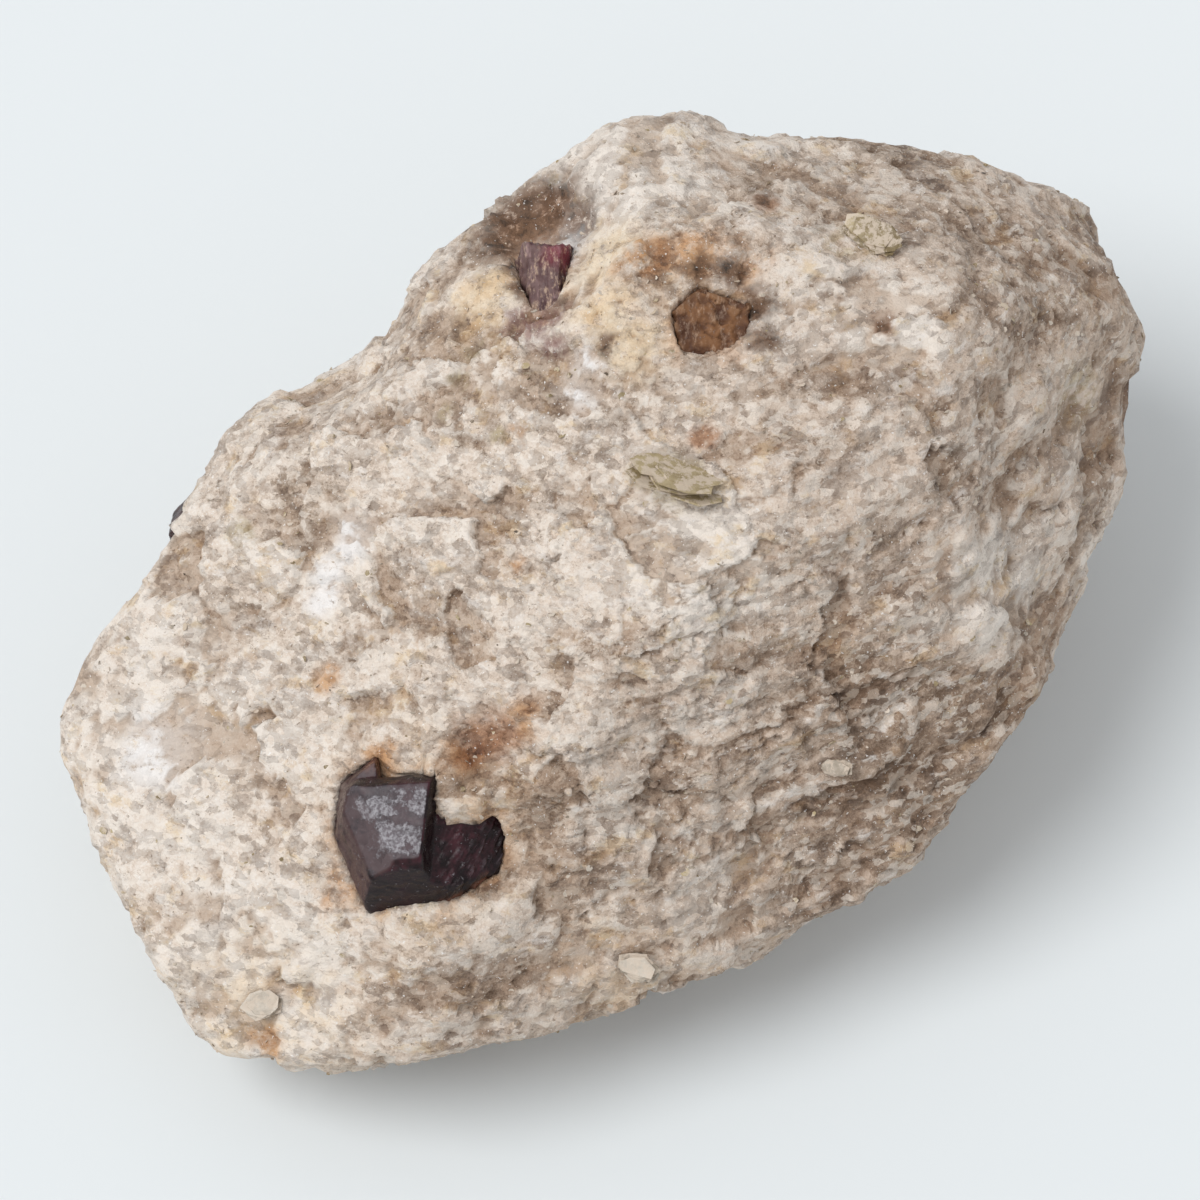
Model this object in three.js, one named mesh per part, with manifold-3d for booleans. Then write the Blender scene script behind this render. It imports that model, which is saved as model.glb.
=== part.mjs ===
// A hand specimen of garnet in matrix: a broken lump of pale mica gneiss that holds four garnets and
// five books of mica, each in a socket of its own. Millimetres, +Z up. The stone rests on the flat
// underside it broke along, and -Y is the side that its best garnet is shown from.
import * as THREE from "three";
import { ConvexGeometry } from "three/addons/geometries/ConvexGeometry.js";
import { ImprovedNoise } from "three/addons/math/ImprovedNoise.js";
import { mergeVertices } from "three/addons/utils/BufferGeometryUtils.js";
import Module from "manifold-3d";

const wasm = await Module();
wasm.setup();

// --- Driving dimensions ---------------------------------------------------------------------------
const heartHeight = 25; // the point inside the stone that its break faces are measured from
const skinDetail = 18; // subdivisions of the icosahedron that becomes the stone's skin
const edgeSharpness = 45; // higher keeps the edges between two break faces crisper
const swell = 1.2; // height of the slow waves of the broken skin
const lumps = 0.7; // height of its smaller lumps
const ledgeHeight = 1.1; // how far one layer of the gneiss steps out past the next
const ledgeSpacing = 8; // from one such step to the next
const gap = 0.3; // clearance between a crystal and its socket

// A unit vector from an azimuth (from +X towards +Y) and an elevation, in degrees.
function direction(azimuth, elevation) {
  const a = THREE.MathUtils.degToRad(azimuth);
  const e = THREE.MathUtils.degToRad(elevation);
  return new THREE.Vector3(Math.cos(a) * Math.cos(e), Math.sin(a) * Math.cos(e), Math.sin(e));
}

// --- The stone ------------------------------------------------------------------------------------
// Each face of the stone or of a crystal is a plane: the way it faces and its distance from the
// middle of the body it bounds.
const face = (azimuth, elevation, distance) => ({ normal: direction(azimuth, elevation), distance });

const breakFaces = [
  face(190, -19, 53.5), // left
  face(204, -26, 54), // left, lower
  face(259, -38, 48.5), // front corner
  face(283, -37, 39), // front
  face(300, -37, 35.5), // front, right part
  face(337, -26, 39), // right, front part
  face(353, -20, 45), // right
  face(14, -8, 57), // right end
  face(72, 9, 55.5), // back right corner
  face(78, 5, 50), // back, right part
  face(92, 2, 44.5), // back
  face(110, 4, 39.5), // back, middle
  face(124, 3, 35.5), // back, left part
  face(144, -1, 38), // back left shoulder
  face(60, -30, 54), // back right, lower
  face(95, -33, 45), // back, lower
  face(130, -34, 41), // back left, lower
  face(225, 59, 23.5), // broad left face of the top
  face(246, 42, 33.5), // bevel at the front left
  face(292, 36, 27), // front slope
  face(306, 55, 32.5), // right slope of the top
  face(333, 33, 39.5), // right bevel
  face(76, 61, 41.5), // back slope
  face(38, 55, 48), // back right slope
  face(155, 56, 30.5), // back left bevel
  face(270, 77, 29), // crown
  face(0, -90, 27), // underside
];

// Places where the skin stands out of its break faces or sinks into them.
const bump = (azimuth, elevation, radius, height) => ({ azimuth, elevation, radius, height });

const bumps = [
  bump(139, 21, 13, -4.2), // shelf on the upper left rim
  bump(179, 4, 9, -2.8), // notch in the left rim
  bump(30, 9, 9, -3), // notch in the right rim
  bump(70, 24, 7, -1.4), // dip in the back rim
  bump(84, 36, 13, 1.2), // lump at the top left of the crown
  bump(101, 44, 8, -2.2), // hollow above the upper left garnet
  bump(109, 60, 5, -1.2), // stone broken away below it
  bump(52, 60, 8, -1.6), // hollow round the brown garnet
  bump(80, 61, 9, 1.0), // rib between those two garnets
  bump(244, 26, 5, -2.2), // imprint of a lost garnet
  bump(241, 20, 6, 1.6), // stone that stands up above the large garnet
  bump(250, 11, 9, -3), // dip on the right of the large garnet
  bump(34, 44, 6, -1.5), // pit on the right of the crown
  bump(227, 6, 9, 1.8), // swelling left of the large garnet
];

// How far the skin is from the heart along a unit direction, before any relief: the nearest break
// face wins, and a high power mean of them all rounds the edges between them.
function reach(d) {
  let sum = 0;
  for (const { normal, distance } of breakFaces) {
    const share = normal.dot(d) / distance;
    if (share > 0) sum += share ** edgeSharpness;
  }
  return sum ** (-1 / edgeSharpness);
}

const noise = new ImprovedNoise();
const wave = (p, size) => noise.noise(p.x / size, p.y / size, p.z / size);
const layerUp = direction(121, 61); // square to the layers of the gneiss

// The layers end in steps: each rises slowly and then drops back, most clearly on the right side.
function ledges(p) {
  const layer = p.dot(layerUp) / ledgeSpacing + 0.5 * wave(p, 14);
  const t = layer - Math.floor(layer);
  const step = t < 0.75 ? t / 0.75 : (1 - t) / 0.25;
  return ledgeHeight * (step - 0.5) * THREE.MathUtils.smoothstep(p.x - p.y, -20, 30);
}

function skinPoint(d) {
  const p = d.clone().multiplyScalar(reach(d));
  let relief = swell * wave(p, 15) + lumps * wave(p, 6.5) + ledges(p);
  for (const { azimuth, elevation, radius, height } of bumps) {
    const middle = direction(azimuth, elevation).multiplyScalar(p.length());
    const t = middle.distanceTo(p) / radius;
    if (t < 1) relief += height * (1 - t * t) ** 2;
  }
  return p.addScaledVector(d, relief);
}

function stoneGeometry() {
  const skin = mergeVertices(bare(new THREE.IcosahedronGeometry(1, skinDetail)), 1e-5);
  const position = skin.getAttribute("position");
  const d = new THREE.Vector3();
  for (let i = 0; i < position.count; i++) {
    d.fromBufferAttribute(position, i).normalize();
    const p = skinPoint(d);
    position.setXYZ(i, p.x, p.y, p.z);
  }
  return skin;
}

// --- Solids from geometry and back ----------------------------------------------------------------
function bare(geometry) {
  geometry.deleteAttribute("normal");
  geometry.deleteAttribute("uv");
  return geometry;
}

function solidOf(geometry) {
  const merged = mergeVertices(bare(geometry), 1e-4);
  const vertProperties = merged.getAttribute("position").array;
  const triVerts = new Uint32Array(merged.getIndex().array);
  return new wasm.Manifold(new wasm.Mesh({ numProp: 3, vertProperties, triVerts }));
}

function geometryOf(solid) {
  const mesh = solid.getMesh();
  const geometry = new THREE.BufferGeometry();
  geometry.setAttribute("position", new THREE.BufferAttribute(mesh.vertProperties, 3));
  geometry.setIndex(new THREE.BufferAttribute(mesh.triVerts, 1));
  return geometry;
}

// --- Crystals -------------------------------------------------------------------------------------
// The convex body inside a set of planes, each moved outward by `grow`: its corners are the points
// where three planes meet and no other plane cuts them away.
function insideOf(planes, grow = 0) {
  const corners = [];
  const count = planes.length;
  const solve = new THREE.Matrix3();
  for (let i = 0; i < count; i++) {
    for (let j = i + 1; j < count; j++) {
      for (let k = j + 1; k < count; k++) {
        const [a, b, c] = [planes[i], planes[j], planes[k]];
        solve.set(...a.normal.toArray(), ...b.normal.toArray(), ...c.normal.toArray());
        if (Math.abs(solve.determinant()) < 1e-3) continue;
        const offsets = new THREE.Vector3(a.distance, b.distance, c.distance).addScalar(grow);
        const corner = offsets.applyMatrix3(solve.invert());
        const kept = planes.every((f) => f.normal.dot(corner) <= f.distance + grow + 1e-6);
        if (kept) corners.push(corner);
      }
    }
  }
  return new ConvexGeometry(corners);
}

// The twelve faces of a rhombic dodecahedron, the habit of garnet, all at one distance, for a crystal
// turned by the given angles about X, Y and Z.
function dodecahedron(distance, turnX, turnY, turnZ) {
  const radians = [turnX, turnY, turnZ].map((degrees) => THREE.MathUtils.degToRad(degrees));
  const turn = new THREE.Euler(...radians);
  const planes = [];
  for (const [x, y] of [[1, 1], [1, -1], [-1, 1], [-1, -1]]) {
    for (const way of [[x, y, 0], [0, x, y], [y, 0, x]]) {
      const normal = new THREE.Vector3(...way).normalize().applyEuler(turn);
      planes.push({ normal, distance });
    }
  }
  return planes;
}

// The large garnet is a dodecahedron with bevelled edges that broke on its right side: a whole block,
// a lower broken block beside it, and a thin horn left standing on its upper edge.
const wholeBlock = [
  face(254, 68, 6.1), // top
  face(270, 9, 6.2), // front
  face(266, 39, 6.75), // bevel between the two
  face(221, 43, 6.6), // left bevel
  face(209, 15, 7), // left
  face(200, -13, 7.5), // left, lower
  face(178, 13, 7.9), // outer left
  face(129, 31, 7.9), // upper left
  face(99, 51, 6.7), // back bevel
  face(94, 21, 5.3), // back
  face(345, 19, 3.2), // right, where the broken block begins
  face(274, -21, 7.8), // front, lower
  face(74, -68, 6), // underneath
];
const brokenBlock = [
  face(305, 58, 4.4), // broken surface
  face(321, 45, 5.4), // broken surface, right part
  face(270, 9, 6.2), // front, in line with the whole block
  face(299, 1, 7.1), // front right
  face(309, -31, 7.6), // front right, lower
  face(358, -13, 8.1), // right
  face(94, 21, 1.4), // back
  face(274, -21, 7.8), // front, lower
  face(180, 0, 0.5), // left, inside the whole block
  face(74, -68, 6), // underneath
];
const horn = [
  face(134, 29, 8.3), // left
  face(178, 13, 7.9), // outer left
  face(8, 11, -2.2), // right
  face(212, 69, 5.2), // top
  face(270, -30, -3), // foot, inside the whole block
  face(90, -60, 2), // behind
];

// Held deep in the stone, the upper left garnet shows a narrow striated front.
const upperLeftBlock = [
  face(212, 60, 3.2), // striated face in sight
  face(188, 12, 2.5), // left
  face(354, 21, 2.4), // right
  face(81, 40, 5.2), // back bevel
  face(90, 8, 5.0), // back
  face(266, 30, 5.4), // front bevel
  face(232, 2, 5.2), // front left
  face(276, -18, 5.4), // front
  face(90, -78, 3.5), // underneath
];

// The brown garnet is weathered flat, nearly flush with the stone.
const brownBlock = [
  face(277, 64, 3), // weathered face in sight
  face(197, 7, 4), // left
  face(138, 33, 4.2), // back left
  face(67, 40, 3.7), // back
  face(359, 13, 4.1), // right
  face(299, 19, 4.6), // lower right
  face(270, -17, 4.1), // front
  face(90, -60, 4), // underneath
];

// Of the left garnet only a rim shows past the edge of the stone.
const leftEdgeBlock = dodecahedron(3.6, 20, 35, 10);

// A book of mica: three sheets of six or seven sides, each turned and shifted a little on the last.
// Its sheets lie square to the way it looks, with their length turned by `spin` radians.
function book([width, length, sheet], looking, spin, grow) {
  const turn = new THREE.Quaternion().setFromUnitVectors(new THREE.Vector3(0, 1, 0), looking);
  const leaves = [0, 1, 2].map((n) => {
    const leaf = new THREE.CylinderGeometry(0.5, 0.5, 1, 6 + (n % 2));
    leaf.scale(width * (1 - 0.12 * n) + 2 * grow, sheet + 2 * grow, length * (1 - 0.1 * n) + 2 * grow);
    leaf.rotateY(spin + 0.2 * n);
    leaf.translate(0.1 * width * n, 0.85 * sheet * n, 0.08 * length * n);
    leaf.applyQuaternion(turn);
    return solidOf(leaf);
  });
  return wasm.Manifold.union(leaves);
}

// --- Seats ----------------------------------------------------------------------------------------
// A crystal sits on the skin along a direction from the heart. Its middle lies `sunk` millimetres
// behind the skin, measured along the way its face in sight looks.
function seat(azimuth, elevation, sunk, looking = direction(azimuth, elevation)) {
  return skinPoint(direction(azimuth, elevation)).addScaledVector(looking, -sunk);
}

const garnet = (blocks, middle) => (grow) => {
  const solids = blocks.map((planes) => solidOf(insideOf(planes, grow)));
  return wasm.Manifold.union(solids).translate(middle.toArray());
};

const mica = (size, looking, spin, middle) => (grow) =>
  book(size, looking, spin, grow).translate(middle.toArray());

const largeMiddle = new THREE.Vector3(-17.6, -29.4, 5.5);
const upperLeftMiddle = seat(107, 52.5, 2.5, direction(212, 60));
const brownMiddle = seat(48, 62.5, 2.5, direction(277, 64));
const leftEdgeMiddle = seat(168, -1, 1.4);

const crystal = (name, color, body) => ({ name, color, body });

const crystals = [
  crystal("garnet_large", 0x3a2328, garnet([wholeBlock, brokenBlock, horn], largeMiddle)),
  crystal("garnet_upper_left", 0x8a5a63, garnet([upperLeftBlock], upperLeftMiddle)),
  crystal("garnet_brown", 0x6b4a33, garnet([brownBlock], brownMiddle)),
  crystal("garnet_left_edge", 0x4c2430, garnet([leftEdgeBlock], leftEdgeMiddle)),
  crystal("mica_book_centre", 0xa39a63, mica([3.4, 6.8, 0.5], direction(60, 66), 1.9, seat(338, 75, 0))),
  crystal("mica_book_upper", 0x9a8450, mica([3.2, 4.6, 0.5], direction(226, 73), 0.7, seat(42, 42, 0.3))),
  crystal("mica_book_left", 0xd9d6c8, mica([2.8, 2.9, 0.4], direction(256, 65), 0.3, seat(231, -8, 0.3))),
  crystal("mica_book_front", 0xc9c6bd, mica([2.4, 3.6, 0.5], direction(265, 55), 1.2, seat(275, -7, 0.3))),
  crystal("mica_book_right", 0xe2dfd8, mica([1.7, 2.6, 0.4], direction(200, 61), 0.8, seat(316, 10, 0.2))),
];

// --- Assembly -------------------------------------------------------------------------------------
const bench = new THREE.BoxGeometry(200, 200, 40);
bench.translate(0, 0, -heartHeight - 20);
const cutters = [solidOf(bench), ...crystals.map((crystal) => crystal.body(gap))];
const stone = solidOf(stoneGeometry()).subtract(wasm.Manifold.union(cutters));

const specimen = new THREE.Group();

function addPart(name, solid, color, roughness) {
  const material = new THREE.MeshStandardMaterial({ color, roughness });
  const mesh = new THREE.Mesh(geometryOf(solid), material);
  mesh.name = name;
  specimen.add(mesh);
}

addPart("matrix", stone, 0xd8cbbd, 0.85);
for (const { name, color, body } of crystals) addPart(name, body(0), color, 0.3);

// The frame's origin is the middle of the underside's level, under the middle of the whole thing.
const box = new THREE.Box3().setFromObject(specimen);
const middle = box.getCenter(new THREE.Vector3());
specimen.position.set(-middle.x, -middle.y, -box.min.z);

export default specimen;
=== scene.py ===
# %% [markdown]
# # Garnet in matrix
#
# This lesson builds a hand specimen: a broken lump of pale mica gneiss with dark garnets and books of
# mica in it. From afar rock is a handful of broken faces, and close up it is thousands of grains, each
# with its own colour and shine. The big faces come from the loaded model, and the lesson adds the grain.
#
# ## Load the frame
#
# The packed model gives one object for each piece, in metres, with +Z up and the specimen resting on
# Z = 0. Everything below is placed by asking it where its own pieces are.

# %% Load the packed model
import math
import bpy
import bmesh
from mathutils import Matrix, Vector


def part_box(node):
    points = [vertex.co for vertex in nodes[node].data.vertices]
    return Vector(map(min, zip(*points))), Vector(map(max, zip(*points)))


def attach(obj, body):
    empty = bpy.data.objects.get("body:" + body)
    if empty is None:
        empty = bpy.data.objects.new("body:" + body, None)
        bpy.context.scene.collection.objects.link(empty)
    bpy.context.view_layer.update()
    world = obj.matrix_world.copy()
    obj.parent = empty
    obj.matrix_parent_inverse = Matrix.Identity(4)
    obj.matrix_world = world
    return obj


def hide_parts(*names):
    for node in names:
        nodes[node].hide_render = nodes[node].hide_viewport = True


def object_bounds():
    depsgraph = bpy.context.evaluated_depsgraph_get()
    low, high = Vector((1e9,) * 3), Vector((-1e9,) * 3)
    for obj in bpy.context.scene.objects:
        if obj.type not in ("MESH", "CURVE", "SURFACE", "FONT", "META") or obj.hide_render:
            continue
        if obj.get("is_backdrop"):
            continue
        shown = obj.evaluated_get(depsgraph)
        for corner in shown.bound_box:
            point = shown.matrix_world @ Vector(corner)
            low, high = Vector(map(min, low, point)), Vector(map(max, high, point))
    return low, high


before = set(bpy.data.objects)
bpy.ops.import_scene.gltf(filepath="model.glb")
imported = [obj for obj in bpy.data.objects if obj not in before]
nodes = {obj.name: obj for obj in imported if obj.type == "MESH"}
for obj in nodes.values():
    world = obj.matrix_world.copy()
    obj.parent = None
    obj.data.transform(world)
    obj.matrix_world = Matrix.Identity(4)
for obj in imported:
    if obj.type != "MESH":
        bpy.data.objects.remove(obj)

cad_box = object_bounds()
MM = 0.001
print("pieces:", sorted(nodes))
print("size in mm:", [round((high - low) / MM, 1) for low, high in zip(*cad_box)])

# %% [markdown]
# ## A short way to write node trees
#
# Shader and geometry trees are both graphs of small sums. Written out node by node they hide the
# thought behind them, so one small class wraps an output socket and lets Python's own operators add the
# Math nodes. One method makes any other node from its type, its settings and its values or links.

# %% A class for sockets
class Wire:
    """An output socket whose arithmetic adds nodes to its own tree."""

    def __init__(self, socket):
        self.socket = socket

    @staticmethod
    def node(tree, kind, settings=None, values=None, out=0):
        """Any node, from its type, its settings and the values or wires of its sockets."""
        made = tree.nodes.new(kind)
        for name, setting in (settings or {}).items():
            if name == "stops":
                Wire.set_stops(made.color_ramp.elements, setting)
            else:
                setattr(made, name, setting)
        for key, value in (values or {}).items():
            if isinstance(value, Wire):
                tree.links.new(value.socket, made.inputs[key])
            else:
                made.inputs[key].default_value = value
        return Wire(made.outputs[out])

    @staticmethod
    def set_stops(elements, stops):
        elements.remove(elements[-1])
        for index, (position, colour) in enumerate(stops):
            stop = elements[0] if index == 0 else elements.new(position)
            stop.position = position
            stop.color = (*colour, 1)

    def make(self, kind, settings=None, values=None, out=0):
        """The same in this wire's own tree."""
        return Wire.node(self.socket.id_data, kind, settings, values, out)

    def also(self, out):
        return Wire(self.socket.node.outputs[out])

    def maths(self, operation, first, *others):
        return self.make("ShaderNodeMath", {"operation": operation}, dict(enumerate((first, *others))))

    def __add__(self, other):
        return self.maths("ADD", self, other)

    def __sub__(self, other):
        return self.maths("SUBTRACT", self, other)

    def __rsub__(self, other):
        return self.maths("SUBTRACT", other, self)

    def __mul__(self, other):
        return self.maths("MULTIPLY", self, other)

    def __truediv__(self, other):
        return self.maths("DIVIDE", self, other)

    def __pow__(self, power):
        return self.maths("POWER", self, power)

    __radd__ = __add__
    __rmul__ = __mul__

    def fraction(self):
        return self.maths("FRACT", self)

    def least(self, other):
        return self.maths("MINIMUM", self, other)

    def most(self, other):
        return self.maths("MAXIMUM", self, other)

    def fade(self, start, end):
        """0 up to start, 1 from end on, smooth between."""
        low, high, first, last = (start, end, 0.0, 1.0) if start < end else (end, start, 1.0, 0.0)
        values = {"Value": self, "From Min": low, "From Max": high, "To Min": first, "To Max": last}
        return self.make("ShaderNodeMapRange", {"interpolation_type": "SMOOTHSTEP"}, values)

    def vector(self, operation, *others, out=0):
        values = dict(enumerate((self, *others)))
        return self.make("ShaderNodeVectorMath", {"operation": operation}, values, out)

    def plus(self, other):
        return self.vector("ADD", other)

    def minus(self, other):
        return self.vector("SUBTRACT", other)

    def stretched(self, factors):
        return self.vector("MULTIPLY", factors)

    def dot(self, other):
        return self.vector("DOT_PRODUCT", other, out=1)

    def distance(self, other):
        return self.vector("DISTANCE", other, out=1)

    def times(self, factor):
        return self.make("ShaderNodeVectorMath", {"operation": "SCALE"}, {0: self, "Scale": factor})


def along(direction, length):
    """A fixed direction made this long; the length is a wire."""
    return length.make("ShaderNodeVectorMath", {"operation": "SCALE"}, {0: direction, "Scale": length})


def xyz(*parts):
    """One vector from three parts, at least one of which is a wire."""
    wire = next(part for part in parts if isinstance(part, Wire))
    return wire.make("ShaderNodeCombineXYZ", None, dict(enumerate(parts)))


print("operators:", [name for name in vars(Wire) if name.startswith("__") and name != "__init__"])

# %% [markdown]
# ## Camera
#
# The specimen is looked down on from 60 degrees above the table, through a long lens so that it isn't
# stretched towards the viewer. The camera looks at the heart of the stone, a point well inside it, from
# which the skin and the stains are measured too.

# %% Camera
def linked(name, data):
    """A new object in the scene."""
    made = bpy.data.objects.new(name, data)
    bpy.context.collection.objects.link(made)
    return made


heart = Vector((-0.4, 0.9, 25)) * MM
tilt = math.radians(60)
distance = 600 * MM
seen_width = 120 * MM
camera_data = bpy.data.cameras.new("specimen camera")
camera_data.sensor_width = 36
camera_data.lens = camera_data.sensor_width * distance / seen_width
camera = linked("specimen camera", camera_data)
camera.location = heart + distance * Vector((0, -math.cos(tilt), math.sin(tilt)))
camera.rotation_euler = (math.radians(90) - tilt, 0, 0)
bpy.context.scene.camera = camera
bpy.context.scene.view_settings.view_transform = "Standard"
print("camera at", [round(v / MM) for v in camera.location], "mm, lens", round(camera_data.lens), "mm")

# %% [markdown]
# ## Floor and light
#
# The stone lies on a plain pale sheet. One broad lamp high on the left gives shade without an edge. The
# light of an area lamp would fall off across the sheet, and that of a very far lamp, seen over 36
# degrees, doesn't. A pale world fills the shadows.

# %% Floor, world and lamp
bpy.ops.mesh.primitive_plane_add(size=4)
floor = bpy.context.object
floor.name = "floor"
sheet = bpy.data.materials.new("pale floor")
sheet.use_nodes = True
paper = sheet.node_tree.nodes["Principled BSDF"].inputs
paper["Base Color"].default_value = (0.755, 0.795, 0.81, 1)
paper["Roughness"].default_value = 0.9
floor.data.materials.append(sheet)
floor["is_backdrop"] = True

world = bpy.data.worlds.new("studio")
bpy.context.scene.world = world
world.use_nodes = True
sky = world.node_tree.nodes["Background"].inputs
sky["Color"].default_value = (0.98, 0.985, 1, 1)
sky["Strength"].default_value = 0.64

sun = bpy.data.lights.new("key lamp", "SUN")
sun.angle = math.radians(36)
sun.energy = 1.7
key_lamp = linked("key lamp", sun)
key_lamp.rotation_euler = Vector((-0.50, -0.15, 0.85)).to_track_quat("Z", "Y").to_euler()
print("lamps:", [light.name for light in bpy.data.lights])

# %% [markdown]
# ## Closed copies of the loaded pieces
#
# The loaded meshes are loose triangles. A copy with its doubles merged is a closed body again, which
# can be cut, remeshed and hit by rays. The loaded pieces themselves stay as they are.

# %% Merged copies
def closed_copy(name, *sources):
    """One object with merged copies of these loaded pieces."""
    mesh = bpy.data.meshes.new(name)
    work = bmesh.new()
    for source in sources:
        work.from_mesh(nodes[source].data)
    bmesh.ops.remove_doubles(work, verts=work.verts, dist=0.002 * MM)
    work.to_mesh(mesh)
    work.free()
    return linked(name, mesh)


def keep_result(thing):
    """Turns an object and its modifiers into a plain mesh."""
    evaluated = thing.evaluated_get(bpy.context.evaluated_depsgraph_get())
    mesh = bpy.data.meshes.new_from_object(evaluated)
    thing.modifiers.clear()
    thing.data = mesh
    return thing


garnet_names = sorted(name for name in nodes if name.startswith("garnet"))
mica_names = sorted(name for name in nodes if name.startswith("mica"))
core = closed_copy("core", "matrix")
crystals = closed_copy("crystals", *garnet_names, *mica_names)
garnets = closed_copy("garnets", *garnet_names)
print("core:", len(core.data.polygons), "triangles; crystals:", len(crystals.data.polygons))

# %% [markdown]
# ## Layers and broken grains
#
# Gneiss was squeezed and sheared, so its minerals lie in thin layers, which here lean 26 degrees and
# turn up at the right end. Along them the stone splits, and across them it breaks in small steps. Closer
# still it is grains that each broke along their own plane. Painting those would need an image for each
# side, so they are rules in space: noise flattened across the layers, and cells that each have a tilt of
# their own. Shape and colour use the same rules, so they agree everywhere.

# %% Patterns that the shape and the colours share
LAYER_UP = (0.0, 0.43, 0.90)


def noise(place, size, detail=3.0, roughness=0.55, out=0, offset=0.0):
    """Noise with features of about this size in mm; place is in mm."""
    shifted = place.plus((offset, -0.7 * offset, 1.3 * offset)) if offset else place
    values = {"Vector": shifted, "Scale": 1 / size, "Detail": detail, "Roughness": roughness}
    return place.make("ShaderNodeTexNoise", {"normalize": True}, values, out)


def bent(place, size, amount):
    """The place moved about by noise, so that straight borders become ragged."""
    shift = noise(place, size, 3.0, out=1).minus((0.5, 0.5, 0.5))
    return place.plus(shift.times(amount))


def layer_height(place):
    """Height across the layers, which are level on the left and turn up towards the right end."""
    across = place.dot(LAYER_UP)
    right = (place.dot((1, 0, 0)) - 4).most(0)
    return across - right * right * 0.0085


def flattened(place, times):
    """The place stretched across the layers, which makes what is drawn there this much flatter."""
    return place.plus(along(LAYER_UP, layer_height(place) * (times - 1)))


def facets(place, size, offset=0.0):
    """Broken grains of about this size: each is a flat face with a tilt of its own. Gives the height
    in mm and the grain's own random colour."""
    shifted = bent(place, size * 0.8, size * 0.7).plus((offset, offset, offset))
    cells = place.make("ShaderNodeTexVoronoi", {"feature": "F1"}, {"Vector": shifted, "Scale": 1 / size})
    tilt = cells.also("Color").minus((0.5, 0.5, 0.5))
    from_middle = shifted.minus(cells.also("Position"))
    return from_middle.dot(tilt), cells.also("Color")


def layered(place):
    """1 on the lower right side, where the layers are broken across, and 0 elsewhere."""
    return place.dot((0.66, -0.74, -0.1)).fade(2, 26)


def ledges(place, spacing):
    """Rises slowly along each layer and drops back at its broken end, 0 to 1."""
    layer = (layer_height(place) / spacing + noise(place, 13.0, 4.0, 0.6) * 3.0).fraction()
    return (layer / 0.8).least((1 - layer) / 0.2)


print("layers lean", round(math.degrees(math.acos(LAYER_UP[2]))), "degrees from level")
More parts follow.
